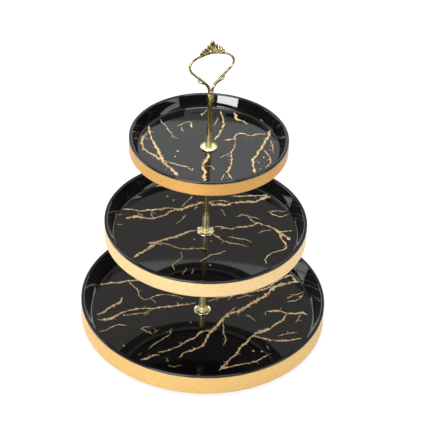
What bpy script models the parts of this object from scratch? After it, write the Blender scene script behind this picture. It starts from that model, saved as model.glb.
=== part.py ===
"""Three-tier cake stand: three dished plates clamped on a screwed spindle of rods, with a crown handle.

Metres, +Z up. The origin is on the spindle's axis, on the surface that the stand rests on.
The flat face of the crown handle looks along Y.
"""

import math

import bmesh
import bpy
from mathutils import Matrix, Vector
from mathutils.geometry import interpolate_bezier

MM = 0.001

# Fits between pieces
FACE_GAP = 0.3 * MM        # between two faces that rest on each other
THREAD_GAP = 0.08 * MM     # radial, between a thread and its tapped bore
PASS_GAP = 0.3 * MM        # radial, between a thread and a plain hole it passes through

# Plates
BOTTOM_DIAMETER = 254.0 * MM
MIDDLE_DIAMETER = 205.4 * MM
TOP_DIAMETER = 157.0 * MM
BOTTOM_DEPTH = 20.2 * MM   # from the rim down to the floor
MIDDLE_DEPTH = 16.0 * MM
TOP_DEPTH = 13.0 * MM
FLOOR_THICKNESS = 3.6 * MM
RIM_WIDTH = 3.2 * MM       # wall at the rim
WALL_DRAFT = math.radians(17)   # how far the inner wall leans outwards
RIM_ROUND = 1.1 * MM
FLOOR_FILLET = 4.5 * MM
HEEL_ROUND = 2.4 * MM      # outer corner under the wall
PLATE_HOLE_RADIUS = 4.0 * MM
FOOT_INSET = 14.0 * MM     # from the plate's outside to the foot ring's outside
FOOT_WIDTH = 4.0 * MM
BOTTOM_FOOT_HEIGHT = 4.8 * MM
UPPER_FOOT_HEIGHT = 2.4 * MM
PLATE_SEGMENTS = 64

# Threads: M4 through the plates, M3 under the handle
THREAD_RADIUS = 2.0 * MM
THREAD_PITCH = 0.7 * MM
ENGAGED_TURNS = 12
BORE_SPARE = 2.0 * MM      # bore left past the end of a thread
HANDLE_THREAD_RADIUS = 1.5 * MM
HANDLE_THREAD_LENGTH = 12.0 * MM
STUD_CHAMFER = 0.4 * MM

# Rods
ROD_LENGTH = 95.5 * MM
SHAFT_RADIUS = 2.5 * MM
BELL_RADIUS = 3.5 * MM
BELL_LENGTH = 14.0 * MM
SHOULDER_LENGTH = 5.0 * MM
UPPER_ROD_LENGTH = 57.0 * MM
UPPER_SHAFT_RADIUS = 2.3 * MM
UPPER_FOOT_RADIUS = 3.4 * MM
UPPER_FLARE_LENGTH = 24.0 * MM
EDGE_ROUND = 0.4 * MM
ROD_SEGMENTS = 20

# Washers and gaskets
WASHER_RADIUS = 8.8 * MM
WASHER_THICKNESS = 0.8 * MM
WASHER_SEAT_RADIUS = 6.8 * MM
WASHER_DISH = 1.0 * MM     # how far the lip drops from the seat towards the plate
LIP_ROUND = 0.35 * MM
GASKET_RADIUS = 6.5 * MM
GASKET_THICKNESS = 0.8 * MM
WASHER_SEGMENTS = 28

# Base screw
HEAD_RADIUS = 3.7 * MM
HEAD_HEIGHT = 1.6 * MM
HEAD_ROUND = 0.8 * MM
SLOT_WIDTH = 0.9 * MM
SLOT_DEPTH = 0.7 * MM

# Crown handle
BOSS_RADIUS = 2.3 * MM
BOSS_HEIGHT = 5.2 * MM
BEAD_RADIUS = 2.9 * MM
BEAD_HEIGHT = 1.7 * MM
ARM_FOOT_RADIUS = 1.35 * MM
ARM_TOP_RADIUS = 1.0 * MM
LOOP_HALF_WIDTH = 22.3 * MM
LOOP_HEIGHT = 48.4 * MM    # from the underside of the boss to the arm's centre under the crown
CROWN_HEIGHT = 13.6 * MM   # from there to the tip of the middle petal
CROWN_HALF_WIDTH = 11.2 * MM
SIDE_PETALS = 4
ARM_STEPS = 5              # points of the arm between two of its own
ARM_SIDES = 3              # bevel resolution, which gives ten sides
BEAD_TURN = math.radians(13)   # keeps a bead's corners off the loop's own

# Stack of one clamped plate, from its floor to the rod above and from its underside to the rod below
SEAT = FACE_GAP + GASKET_THICKNESS + FACE_GAP + WASHER_THICKNESS + FACE_GAP
TIER_PITCH = ROD_LENGTH + 2 * SEAT + FLOOR_THICKNESS
ENGAGED_LENGTH = ENGAGED_TURNS * THREAD_PITCH
STUD_SPAN = 2 * SEAT + FLOOR_THICKNESS   # the free stretch of a stud, between two rods

BOTTOM_FLOOR = BOTTOM_FOOT_HEIGHT + FLOOR_THICKNESS
MIDDLE_FLOOR = BOTTOM_FLOOR + TIER_PITCH
TOP_FLOOR = MIDDLE_FLOOR + TIER_PITCH
HANDLE_BASE = TOP_FLOOR + SEAT + UPPER_ROD_LENGTH + FACE_GAP

TIERS = (
    ("bottom", BOTTOM_DIAMETER / 2, BOTTOM_DEPTH, BOTTOM_FOOT_HEIGHT, BOTTOM_FLOOR),
    ("middle", MIDDLE_DIAMETER / 2, MIDDLE_DEPTH, UPPER_FOOT_HEIGHT, MIDDLE_FLOOR),
    ("top", TOP_DIAMETER / 2, TOP_DEPTH, UPPER_FOOT_HEIGHT, TOP_FLOOR),
)


def clear_scene():
    for obj in list(bpy.data.objects):
        bpy.data.objects.remove(obj)


def finish(name, color, roughness, metallic):
    """One material of the stand."""
    material = bpy.data.materials.new(name)
    material.use_nodes = True
    shader = material.node_tree.nodes["Principled BSDF"]
    shader.inputs["Base Color"].default_value = (*color, 1)
    shader.inputs["Roughness"].default_value = roughness
    shader.inputs["Metallic"].default_value = metallic
    return material


def rounded(corners):
    """The profile through corners (r, z, round), each rounded to its own radius with a few points."""
    points = []
    for i, (r, z, radius) in enumerate(corners):
        here = Vector((r, z))
        if radius == 0:
            points.append(here)
            continue
        back = (Vector(corners[i - 1][:2]) - here).normalized()
        on = (Vector(corners[(i + 1) % len(corners)][:2]) - here).normalized()
        half = back.angle(on) / 2
        centre = here + (back + on).normalized() * radius / math.sin(half)
        start = here + back * radius / math.tan(half) - centre
        end = here + on * radius / math.tan(half) - centre
        turn = start.angle_signed(end)
        steps = 3 if radius > 1.5 * MM else 2
        for step in range(steps + 1):
            angle = -turn * step / steps
            points.append(
                centre
                + Vector(
                    (
                        start.x * math.cos(angle) - start.y * math.sin(angle),
                        start.x * math.sin(angle) + start.y * math.cos(angle),
                    )
                )
            )
    return points


def object_of(name, form, material, place=(0, 0, 0)):
    """The bmesh made an object, placed and given its material."""
    mesh = bpy.data.meshes.new(name)
    form.to_mesh(mesh)
    form.free()
    mesh.shade_smooth()
    mesh.set_sharp_from_angle(angle=math.radians(35))
    mesh.materials.append(material)
    obj = bpy.data.objects.new(name, mesh)
    obj.location = place
    bpy.context.scene.collection.objects.link(obj)
    return obj


def turned(name, corners, segments, material, z=0.0):
    """A piece turned on the Z axis from a closed profile of corners (r, z, round)."""
    form = bmesh.new()
    ring = [form.verts.new((p.x, 0, p.y)) for p in rounded(corners)]
    edges = [form.edges.new((a, b)) for a, b in zip(ring, ring[1:] + ring[:1])]
    edges = [e for e in edges if max(v.co.x for v in e.verts) > 0]
    bmesh.ops.spin(
        form,
        geom=edges,
        cent=(0, 0, 0),
        axis=(0, 0, 1),
        angle=2 * math.pi,
        steps=segments,
        use_merge=True,
    )
    bmesh.ops.remove_doubles(form, verts=form.verts, dist=1e-6)
    loose = [e for e in form.edges if not e.link_faces]
    bmesh.ops.delete(form, geom=loose, context="EDGES")
    bmesh.ops.recalc_face_normals(form, faces=form.faces)
    return object_of(name, form, material, (0, 0, z))


def plate(tier, radius, depth, foot_height, floor, glaze):
    """A flat plate with an upright outer wall, an inner wall that leans outwards, and a foot ring."""
    under = floor - FLOOR_THICKNESS
    rim = floor + depth
    rim_inside = radius - RIM_WIDTH
    floor_radius = rim_inside - depth * math.tan(WALL_DRAFT)
    foot_outside = radius - FOOT_INSET
    foot_inside = foot_outside - FOOT_WIDTH
    corners = (
        (PLATE_HOLE_RADIUS, under, 0),
        (PLATE_HOLE_RADIUS, floor, 0),
        (floor_radius, floor, FLOOR_FILLET),
        (rim_inside, rim, RIM_ROUND),
        (radius, rim, RIM_ROUND),
        (radius, under, HEEL_ROUND),
        (foot_outside, under, 0),
        (foot_outside, under - foot_height, 0),
        (foot_inside, under - foot_height, 0),
        (foot_inside, under, 0),
    )
    turned(f"{tier}_plate", corners, PLATE_SEGMENTS, glaze)


def cup_washer(name, seat, way, metal):
    """A cup washer that covers a gasket. Its seat is at height seat, facing way, and its lip drops towards the plate."""
    hole = THREAD_RADIUS + PASS_GAP
    lip = WASHER_RADIUS
    drop = -WASHER_DISH * way
    back = -WASHER_THICKNESS * way
    corners = (
        (hole, 0, 0),
        (WASHER_SEAT_RADIUS, 0, 0),
        (lip, drop, LIP_ROUND),
        (lip, drop + back, 0),
        (lip - WASHER_THICKNESS, drop + back, 0),
        (WASHER_SEAT_RADIUS, back, 0),
        (hole, back, 0),
    )
    turned(name, corners, WASHER_SEGMENTS, metal, seat)


def gasket(name, low, silicone):
    hole = THREAD_RADIUS + PASS_GAP
    corners = (
        (hole, 0, 0),
        (GASKET_RADIUS, 0, 0),
        (GASKET_RADIUS, GASKET_THICKNESS, 0),
        (hole, GASKET_THICKNESS, 0),
    )
    turned(name, corners, WASHER_SEGMENTS, silicone, low)


def clamp_pieces(tier, floor, metal, silicone):
    """The two cup washers and the two gaskets that hold one plate."""
    under = floor - FLOOR_THICKNESS
    gasket(f"{tier}_upper_gasket", floor + FACE_GAP, silicone)
    gasket(f"{tier}_lower_gasket", under - FACE_GAP - GASKET_THICKNESS, silicone)
    cup_washer(f"{tier}_upper_washer", floor + SEAT - FACE_GAP, 1, metal)
    cup_washer(f"{tier}_lower_washer", under - SEAT + FACE_GAP, -1, metal)


def rod(name, z, metal):
    """A slim rod with a bell at each end, bored and tapped at both ends."""
    bore = THREAD_RADIUS + THREAD_GAP
    deep = ENGAGED_LENGTH + BORE_SPARE
    neck = BELL_LENGTH + SHOULDER_LENGTH
    waist = BELL_LENGTH + 0.45 * SHOULDER_LENGTH
    half = (
        (0, deep, 0),
        (bore, deep, 0),
        (bore, 0, 0),
        (BELL_RADIUS, 0, EDGE_ROUND),
        (BELL_RADIUS, BELL_LENGTH, 0),
        (BELL_RADIUS - 0.25 * (BELL_RADIUS - SHAFT_RADIUS), waist, 0),
        (SHAFT_RADIUS, neck, 0),
    )
    other = tuple((r, ROD_LENGTH - h, rounding) for r, h, rounding in reversed(half))
    turned(name, half + other, ROD_SEGMENTS, metal, z)


def upper_rod(z, metal):
    """The rod under the handle: slim at the top, with a long flare down to its foot."""
    bore = THREAD_RADIUS + THREAD_GAP
    deep = ENGAGED_LENGTH + BORE_SPARE
    top_bore = HANDLE_THREAD_RADIUS + THREAD_GAP
    top_deep = UPPER_ROD_LENGTH - HANDLE_THREAD_LENGTH / 2 - BORE_SPARE
    corners = (
        (0, deep, 0),
        (bore, deep, 0),
        (bore, 0, 0),
        (UPPER_FOOT_RADIUS, 0, EDGE_ROUND),
        (UPPER_FOOT_RADIUS - 0.3 * MM, UPPER_FLARE_LENGTH / 3, 0),
        (UPPER_SHAFT_RADIUS, UPPER_FLARE_LENGTH, 0),
        (UPPER_SHAFT_RADIUS, UPPER_ROD_LENGTH, EDGE_ROUND),
        (top_bore, UPPER_ROD_LENGTH, 0),
        (top_bore, top_deep, 0),
        (0, top_deep, 0),
    )
    turned("upper_rod", corners, ROD_SEGMENTS, metal, z)


def stud(name, radius, low, length, steel):
    corners = (
        (0, 0, 0),
        (radius - STUD_CHAMFER, 0, 0),
        (radius, STUD_CHAMFER, 0),
        (radius, length - STUD_CHAMFER, 0),
        (radius - STUD_CHAMFER, length, 0),
        (0, length, 0),
    )
    turned(name, corners, ROD_SEGMENTS, steel, low)


def base_screw(steel):
    """The slotted screw that comes up through the bottom plate into the lower rod."""
    head_top = BOTTOM_FOOT_HEIGHT - SEAT
    thread_end = BOTTOM_FLOOR + SEAT + ENGAGED_LENGTH - head_top
    corners = (
        (0, -HEAD_HEIGHT, 0),
        (HEAD_RADIUS, -HEAD_HEIGHT, HEAD_ROUND),
        (HEAD_RADIUS, 0, 0),
        (THREAD_RADIUS, 0, 0),
        (THREAD_RADIUS, thread_end - STUD_CHAMFER, 0),
        (THREAD_RADIUS - STUD_CHAMFER, thread_end, 0),
        (0, thread_end, 0),
    )
    screw = turned("base_screw", corners, ROD_SEGMENTS, steel, head_top)
    form = bmesh.new()
    bmesh.ops.create_cube(form, size=1)
    bmesh.ops.scale(form, vec=(3 * HEAD_RADIUS, SLOT_WIDTH, 2 * SLOT_DEPTH), verts=form.verts)
    cutter = object_of("slot_cutter", form, steel, (0, 0, head_top - HEAD_HEIGHT))
    cutter.hide_render = True
    cutter.display_type = "WIRE"
    cut = screw.modifiers.new("slot", "BOOLEAN")
    cut.operation = "DIFFERENCE"
    cut.object = cutter


def loop_centreline():
    """The loop's centreline from its left foot over the top to its right foot, as (x, z, radius) from the boss."""
    wide = LOOP_HALF_WIDTH
    high = LOOP_HEIGHT
    crown = CROWN_HALF_WIDTH
    # knots (x, z, direction of travel in degrees from +X, reach of its handles)
    knots = (
        (ARM_FOOT_RADIUS + 0.1 * MM, BOSS_HEIGHT - 0.75 * MM, 89, 0.08 * high),
        (0.29 * wide, 0.32 * high, 48, 0.09 * high),
        (wide, 0.745 * high, 92, 0.155 * high),
        (crown, high - 1.6 * MM, 166, 0.10 * high),
        (0, high, 180, 0.06 * high),
    )
    side = []
    for (x0, z0, way0, reach0), (x1, z1, way1, reach1) in zip(knots, knots[1:]):
        start = Vector((x0, 0, z0))
        end = Vector((x1, 0, z1))
        leave = Vector((math.cos(math.radians(way0)), 0, math.sin(math.radians(way0))))
        arrive = Vector((math.cos(math.radians(way1)), 0, math.sin(math.radians(way1))))
        curve = interpolate_bezier(
            start, start + leave * reach0, end - arrive * reach1, end, ARM_STEPS + 1
        )
        side.extend(curve[:-1])
    thinning = (ARM_TOP_RADIUS - ARM_FOOT_RADIUS) / high
    right = [(p.x, p.z, ARM_FOOT_RADIUS + thinning * p.z) for p in side]
    return [(-x, z, r) for x, z, r in right] + [(0, high, ARM_TOP_RADIUS)] + right[::-1]


def tube(name, points, metal):
    """A round bar with closed ends along points (x, z, radius) in the handle's plane."""
    line = bpy.data.curves.new(name, "CURVE")
    line.dimensions = "3D"
    line.bevel_depth = 1
    line.bevel_resolution = ARM_SIDES
    line.use_fill_caps = True
    spline = line.splines.new("POLY")
    spline.points.add(len(points) - 1)
    for point, (x, z, radius) in zip(spline.points, points):
        point.co = (x, 0, z, 1)
        point.radius = radius
    obj = bpy.data.objects.new(name, line)
    bpy.context.scene.collection.objects.link(obj)
    bpy.context.view_layer.update()
    mesh = bpy.data.meshes.new_from_object(obj.evaluated_get(bpy.context.evaluated_depsgraph_get()))
    bpy.data.objects.remove(obj)
    form = bmesh.new()
    form.from_mesh(mesh)
    bpy.data.meshes.remove(mesh)
    bmesh.ops.remove_doubles(form, verts=form.verts, dist=1e-6)
    bmesh.ops.recalc_face_normals(form, faces=form.faces)
    return object_of(name, form, metal)


def bead(name, x, z, half_width, half_height, lean, metal):
    """A small rounded lump, longer along its own lean from upright."""
    form = bmesh.new()
    bmesh.ops.create_uvsphere(form, u_segments=10, v_segments=6, radius=1)
    bmesh.ops.scale(form, vec=(half_width, half_width, half_height), verts=form.verts)
    turn = Matrix.Rotation(BEAD_TURN, 3, "Z")
    bmesh.ops.rotate(form, cent=(0, 0, 0), matrix=turn, verts=form.verts)
    obj = object_of(name, form, metal)
    obj.rotation_euler = (0, lean, 0)
    obj.location = (x, 0, z)
    return obj


def crown_pieces(metal):
    """The petals of the crown: a tall one in the middle and shorter ones leaning out on each side."""
    base = LOOP_HEIGHT - 0.5 * MM
    pieces = [bead("petal", 0, base + 0.52 * CROWN_HEIGHT, 1.35 * MM, 0.53 * CROWN_HEIGHT, 0, metal)]
    for i in range(1, SIDE_PETALS + 1):
        share = i / SIDE_PETALS
        tall = CROWN_HEIGHT * (0.36 + 0.46 * (1 - share) ** 1.1)
        foot = base - 1.9 * MM * share**2
        lean = math.radians(10 + 16 * share)
        for side in (-1, 1):
            x = side * (CROWN_HALF_WIDTH - 1 * MM) * share
            middle = tall * 0.46
            pieces.append(
                bead(
                    "petal",
                    x + side * middle * math.sin(lean),
                    foot + middle * math.cos(lean),
                    1.25 * MM,
                    tall * 0.54,
                    side * lean,
                    metal,
                )
            )
    return pieces


def spur_pieces(metal):
    """A thin curl with a ball end, low on the outside of each arm."""
    pieces = []
    for side in (-1, 1):
        # (x, share of the loop's height, radius), so that a curl still leaves its arm when the loop is made taller
        curl = ((4.6, 0.277, 0.9), (7.4, 0.316, 0.7), (10.6, 0.355, 0.6), (13.6, 0.417, 0.55))
        points = [(side * x * MM, share * LOOP_HEIGHT, r * MM) for x, share, r in curl]
        pieces.append(tube("spur", points, metal))
        pieces.append(bead("spur_ball", points[-1][0], points[-1][1], 1.05 * MM, 1.05 * MM, 0, metal))
    return pieces


def crown_handle(metal):
    """The cast handle: a boss with a bead, a loop of two arms, curls and a crown, all one casting."""
    bore = HANDLE_THREAD_RADIUS + THREAD_GAP
    deep = BOSS_HEIGHT - 1.2 * MM
    boss = turned(
        "crown_handle",
        (
            (bore, 0, 0),
            (BEAD_RADIUS, 0, 0.5 * MM),
            (BEAD_RADIUS, BEAD_HEIGHT, 0.5 * MM),
            (BOSS_RADIUS, BEAD_HEIGHT, 0),
            (BOSS_RADIUS, BOSS_HEIGHT, 0.8 * MM),
            (0, BOSS_HEIGHT, 0),
            (0, deep, 0),
            (bore, deep, 0),
        ),
        ROD_SEGMENTS,
        metal,
    )
    extras = [tube("loop", loop_centreline(), metal)] + crown_pieces(metal) + spur_pieces(metal)
    for piece in extras:
        piece.hide_render = True
        piece.display_type = "WIRE"
        join = boss.modifiers.new(piece.name, "BOOLEAN")
        join.operation = "UNION"
        join.object = piece
        piece.location.z += HANDLE_BASE
    boss.location.z = HANDLE_BASE


def build():
    clear_scene()
    glaze = finish("black_glaze", (0.008, 0.008, 0.009), 0.06, 0)
    gold = finish("gold_plate", (0.82, 0.6, 0.24), 0.16, 1)
    steel = finish("bright_steel", (0.62, 0.61, 0.58), 0.3, 1)
    silicone = finish("clear_silicone", (0.82, 0.82, 0.8), 0.45, 0)
    for tier, radius, depth, foot_height, floor in TIERS:
        plate(tier, radius, depth, foot_height, floor, glaze)
        clamp_pieces(tier, floor, gold, silicone)
    rod("lower_rod", BOTTOM_FLOOR + SEAT, gold)
    rod("middle_rod", MIDDLE_FLOOR + SEAT, gold)
    upper_rod(TOP_FLOOR + SEAT, gold)
    stud_length = 2 * ENGAGED_LENGTH + STUD_SPAN
    for name, floor in (("middle_rod_stud", MIDDLE_FLOOR), ("upper_rod_stud", TOP_FLOOR)):
        low = floor - FLOOR_THICKNESS - SEAT - ENGAGED_LENGTH
        stud(name, THREAD_RADIUS, low, stud_length, steel)
    base_screw(steel)
    handle_stud_low = HANDLE_BASE - HANDLE_THREAD_LENGTH + BOSS_HEIGHT - 1.2 * MM - FACE_GAP
    stud("handle_stud", HANDLE_THREAD_RADIUS, handle_stud_low, HANDLE_THREAD_LENGTH, steel)
    crown_handle(gold)


build()
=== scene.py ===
"""Looks of a three-tier cake stand: black glazed plates with gold veins and bands, on a gilt stem with a crown handle.

Metres, +Z up, the stem on the Z axis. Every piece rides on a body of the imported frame.
"""

import math
import random

import bmesh
import bpy
from bpy.props import FloatProperty, FloatVectorProperty, IntProperty, PointerProperty
from mathutils import Matrix, Vector


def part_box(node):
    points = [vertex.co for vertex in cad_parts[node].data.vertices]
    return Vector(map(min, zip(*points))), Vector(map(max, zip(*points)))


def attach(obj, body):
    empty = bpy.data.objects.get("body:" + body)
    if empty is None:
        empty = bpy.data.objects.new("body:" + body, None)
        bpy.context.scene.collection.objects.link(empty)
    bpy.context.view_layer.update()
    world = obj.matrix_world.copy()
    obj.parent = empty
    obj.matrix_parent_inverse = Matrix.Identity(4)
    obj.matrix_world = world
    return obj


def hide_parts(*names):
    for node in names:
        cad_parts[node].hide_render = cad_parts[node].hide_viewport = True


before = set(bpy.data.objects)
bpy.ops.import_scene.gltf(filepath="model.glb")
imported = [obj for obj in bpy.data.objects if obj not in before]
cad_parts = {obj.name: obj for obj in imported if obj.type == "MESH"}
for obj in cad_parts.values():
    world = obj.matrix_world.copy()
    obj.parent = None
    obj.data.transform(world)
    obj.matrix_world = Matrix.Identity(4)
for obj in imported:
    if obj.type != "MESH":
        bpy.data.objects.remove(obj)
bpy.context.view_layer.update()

bl_info = {
    "name": "Tiered Cake Stand",
    "version": (1, 0, 0),
    "blender": (4, 5, 0),
    "location": "View3D > Sidebar > Cake Stand",
    "description": "Builds the glazed plates, gilt stem and crown handle of a three-tier cake stand",
    "category": "Object",
}

MM = 0.001
TIERS = ("bottom", "middle", "top")
PLATE_BODIES = {"bottom": "base", "middle": "lower_stem", "top": "middle_stem"}
WASHER_BODIES = {"bottom": "lower_seat", "middle": "middle_seat", "top": "upper_seat"}

# Sections in mm that the frame's boxes don't give
FLOOR_THICKNESS = 3.6
RIM_WIDTH = 3.2
WALL_DRAFT = math.radians(19)   # of the inner wall
HEEL_DRAFT = math.radians(27)   # of its lowest stretch
HEEL_HEIGHT = 3.8
PLATE_HOLE_RADIUS = 4.0
FOOT_HEIGHTS = {"bottom": 4.8, "middle": 2.4, "top": 2.4}
FOOT_INSET = 14.0
FOOT_WIDTH = 4.0
PLATE_STEPS = 256
ROD_BORE = (2.08, 10.4)      # radius and depth
HANDLE_BORE = (1.58, 8.0)
SCREW_RADIUS = 2.0
HANDLE_PITCH = 0.5
SMOOTH_BELOW = 30    # degrees between two faces
THREAD_SMOOTH_BELOW = 25
VEIN_STEP = 1.7      # from one corner of a vein's edge to the next
VEIN_SWAY = 0.6      # how far a corner strays sideways
VEIN_LIFT = 0.0015   # each vein lies this much above the one before, so that no two share a plane


# ---- settings


class CakeStandPlateSettings(bpy.types.PropertyGroup):
    """Finish of the plates."""

    glaze_color: FloatVectorProperty(
        name="Glaze", description="Colour of the black glaze", subtype="COLOR", default=(0.004, 0.004, 0.0045)
    )
    glaze_roughness: FloatProperty(
        name="Glaze Roughness", description="Blur of the glaze's reflections", default=0.045, min=0, max=1
    )
    # painted light and shade: the three bands are one gold, each given its own shade (darker on top, paler in the
    # middle) for the light that falls on each tier
    band_top: FloatVectorProperty(
        name="Top Band", description="Gilding round the top plate", subtype="COLOR", default=(0.66, 0.365, 0.105)
    )
    band_middle: FloatVectorProperty(
        name="Middle Band", description="Gilding round the middle plate", subtype="COLOR", default=(0.80, 0.58, 0.295)
    )
    band_bottom: FloatVectorProperty(
        name="Bottom Band", description="Gilding round the bottom plate", subtype="COLOR", default=(0.72, 0.48, 0.185)
    )
    band_drop: FloatProperty(
        name="Band Drop", description="Black lip left above the gilding", default=2.1 * MM, unit="LENGTH"
    )
    vein_color: FloatVectorProperty(
        name="Veins", description="Gold of the veins in the glaze", subtype="COLOR", default=(0.88, 0.61, 0.29)
    )
    vein_height: FloatProperty(
        name="Vein Height", description="How far the gold stands on the glaze", default=0.06 * MM, unit="LENGTH"
    )


class CakeStandMetalSettings(bpy.types.PropertyGroup):
    """Finish of the stem, washers and handle."""

    gilt_color: FloatVectorProperty(
        name="Gilt", description="Colour of the gold plating", subtype="COLOR", default=(0.90, 0.74, 0.36)
    )
    gilt_roughness: FloatProperty(
        name="Gilt Roughness", description="Blur of the plating's reflections", default=0.17, min=0, max=1
    )
    # painted shade: the handle's gilt is darkened to stand in for the dark room that it reflects
    handle_shaded_gilt: FloatVectorProperty(
        name="Handle", description="Colour of the handle's darker gilt", subtype="COLOR", default=(0.50, 0.42, 0.20)
    )
    washer_color: FloatVectorProperty(
        name="Washers", description="Colour of the brighter washers", subtype="COLOR", default=(0.97, 0.92, 0.66)
    )
    washer_roughness: FloatProperty(
        name="Washer Roughness", description="Blur of the washers' reflections", default=0.2, min=0, max=1
    )
    thread_pitch: FloatProperty(
        name="Thread Pitch", description="Rise of the studs' thread in one turn", default=0.7 * MM, unit="LENGTH"
    )


class CakeStandHandleSettings(bpy.types.PropertyGroup):
    """Shape of the crown handle."""

    loop_half_width: FloatProperty(
        name="Loop Half Width", description="From the stem's axis to an arm", default=22.3 * MM, unit="LENGTH"
    )
    loop_height: FloatProperty(
        name="Loop Height", description="From the boss's underside to the arm under the crown", default=48.4 * MM,
        unit="LENGTH",
    )
    crown_height: FloatProperty(
        name="Crown Height", description="From there to the tip of the middle petal", default=13.6 * MM, unit="LENGTH"
    )
    side_petals: IntProperty(
        name="Side Petals", description="Petals of the crown on each side of the middle one", default=4, min=1
    )
    cast_cell: FloatProperty(
        name="Casting Cell", description="Grain of the skin that blends the casting", default=0.28 * MM, unit="LENGTH"
    )


class CakeStandStageSettings(bpy.types.PropertyGroup):
    """Floor, lights and camera."""

    floor_color: FloatVectorProperty(
        name="Floor", description="Colour of the floor", subtype="COLOR", default=(0.9, 0.9, 0.9)
    )
    light_power: FloatProperty(
        name="Light", description="Share of the studio lights' power", default=1.0, min=0
    )
    lens: FloatProperty(name="Lens", description="Focal length in millimetres", default=149.3)


# ---- modelling


def box_of(node):
    """(radius, lowest z, highest z) of a turned CAD node, in mm."""
    low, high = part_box(node)
    return high.x / MM, low.z / MM, high.z / MM


def select_all():
    bpy.ops.mesh.select_all(action="SELECT")


def extrude(move):
    bpy.ops.mesh.extrude_region_move(TRANSFORM_OT_translate={"value": move})


def set_mode(mode):
    bpy.ops.object.mode_set(mode=mode)


def select_only(*pieces):
    """Selects the pieces alone, the first of them active."""
    bpy.ops.object.select_all(action="DESELECT")
    for piece in pieces:
        piece.select_set(True)
    if pieces:
        bpy.context.view_layer.objects.active = pieces[0]


def pick(test):
    """In edit mode, selects the vertices that pass test, and the edges and faces between them."""
    bpy.ops.mesh.select_all(action="DESELECT")
    form = bmesh.from_edit_mesh(bpy.context.object.data)
    for vert in form.verts:
        vert.select = test(vert.co)
    form.select_flush(True)
    bmesh.update_edit_mesh(bpy.context.object.data)


def draw_line(name, places):
    """A new object of one line through places, in edit mode with its last point selected."""
    select_only()
    bpy.ops.mesh.primitive_plane_add(size=MM, location=(0, 0, 0))
    bpy.context.object.name = bpy.context.object.data.name = name
    set_mode("EDIT")
    bpy.context.tool_settings.mesh_select_mode = (True, False, False)
    select_all()
    bpy.ops.mesh.merge(type="CENTER")
    bpy.ops.transform.translate(value=places[0])
    for here, there in zip(places, places[1:]):
        extrude(there - here)


def draw_profile(name, corners):
    """A closed profile in the XZ plane: each corner (r, z, cut, steps) is rounded by a vertex bevel of that cut."""
    places = [Vector((r, 0, z)) for r, z, _, _ in corners]
    draw_line(name, places + places[:1])
    select_all()
    bpy.ops.mesh.remove_doubles(threshold=1e-7)
    for place, (_, _, cut, steps) in zip(places, corners):
        if cut:
            pick(lambda co, place=place: (co - place).length < 1e-6)
            bpy.ops.mesh.bevel(offset=cut, segments=steps, affect="VERTICES")


def finish_faces(smooth):
    """Turns the faces outwards, leaves edit mode, and smooths every edge flatter than the angle given in degrees."""
    select_all()
    bpy.ops.mesh.normals_make_consistent(inside=False)
    set_mode("OBJECT")
    bpy.ops.object.shade_smooth_by_angle(angle=math.radians(smooth))


def apply_modifier(piece, name, kind, **values):
    modifier = piece.modifiers.new(name, kind)
    for key, value in values.items():
        setattr(modifier, key, value)
    bpy.ops.object.modifier_apply(modifier=modifier.name)


def turn(name, corners, steps, z=0.0):
    """A piece turned on the stem's axis from corners (r, z, cut, steps) in mm above z, and left in object mode."""
    draw_profile(name, [(r * MM, (h + z) * MM, cut * MM, n) for r, h, cut, n in corners])
    select_all()
    bpy.ops.mesh.spin(steps=steps, angle=2 * math.pi, center=(0, 0, 0), axis=(0, 0, 1), use_auto_merge=True)
    select_all()
    bpy.ops.mesh.remove_doubles(threshold=1e-6)
    bpy.ops.mesh.delete_loose()
    finish_faces(SMOOTH_BELOW)
    piece = bpy.context.object
    # a rounded edge doesn't bend the shading of the wide faces beside it
    apply_modifier(piece, "true_faces", "WEIGHTED_NORMAL", keep_sharp=True, weight=100)
    return piece


def settle(piece):
    """Leaves the piece at the origin, unturned and unscaled, with its place in its mesh."""
    select_only(piece)
    bpy.ops.object.transform_apply(location=True, rotation=True, scale=True)


def dress(piece, material, body, slot, *nodes):
    """Gives the piece its material and body, and hides the CAD nodes that it stands for; the slot is not used."""
    piece.data.materials.clear()
    piece.data.materials.append(material)
    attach(piece, body)
    if nodes:
        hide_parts(*nodes)


# ---- materials


def new_material(name):
    material = bpy.data.materials.new(name)
    material.use_nodes = True
    return material, material.node_tree, material.node_tree.nodes["Principled BSDF"]


def feed(tree, node, **values):
    """Links sockets to the node's inputs, or sets numbers or colours on them: an underscore stands for a space."""
    for name, value in values.items():
        plug(tree, node.inputs[name.replace("_", " ")], value)


def plug(tree, socket, value):
    if isinstance(value, bpy.types.NodeSocket):
        tree.links.new(value, socket)
    else:
        socket.default_value = value if isinstance(value, (int, float)) else (*value, 1)


def math_node(tree, operation, *values):
    """A Math node whose inputs are numbers or sockets, and its output."""
    node = tree.nodes.new("ShaderNodeMath")
    node.operation = operation
    for socket, value in zip(node.inputs, values):
        plug(tree, socket, value)
    return node.outputs[0]


def product(tree, first, second):
    return math_node(tree, "MULTIPLY", first, second)


def ramp_between(tree, value, low, high, ends="From", kind="SMOOTHSTEP"):
    """0 where value is below low, 1 above high, smooth between."""
    node = tree.nodes.new("ShaderNodeMapRange")
    node.interpolation_type = kind
    feed(tree, node, Value=value, **{f"{ends} Min": low, f"{ends} Max": high})
    return node.outputs["Result"]


def scale_between(tree, value, low, high):
    """value, from 0 to 1, spread from low to high."""
    return ramp_between(tree, value, low, high, "To", "LINEAR")


def mix_color(tree, share, first, second):
    node = tree.nodes.new("ShaderNodeMix")
    node.data_type = "RGBA"
    # the colour inputs share their names with those of the other data types
    for index, value in ((0, share), (6, first), (7, second)):
        plug(tree, node.inputs[index], value)
    return node.outputs[2]


def object_place(tree):
    return tree.nodes.new("ShaderNodeTexCoord").outputs["Object"]


def stretch(tree, place, by):
    node = tree.nodes.new("ShaderNodeVectorMath")
    node.operation = "MULTIPLY"
    tree.links.new(place, node.inputs[0])
    node.inputs[1].default_value = by
    return node.outputs[0]


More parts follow.
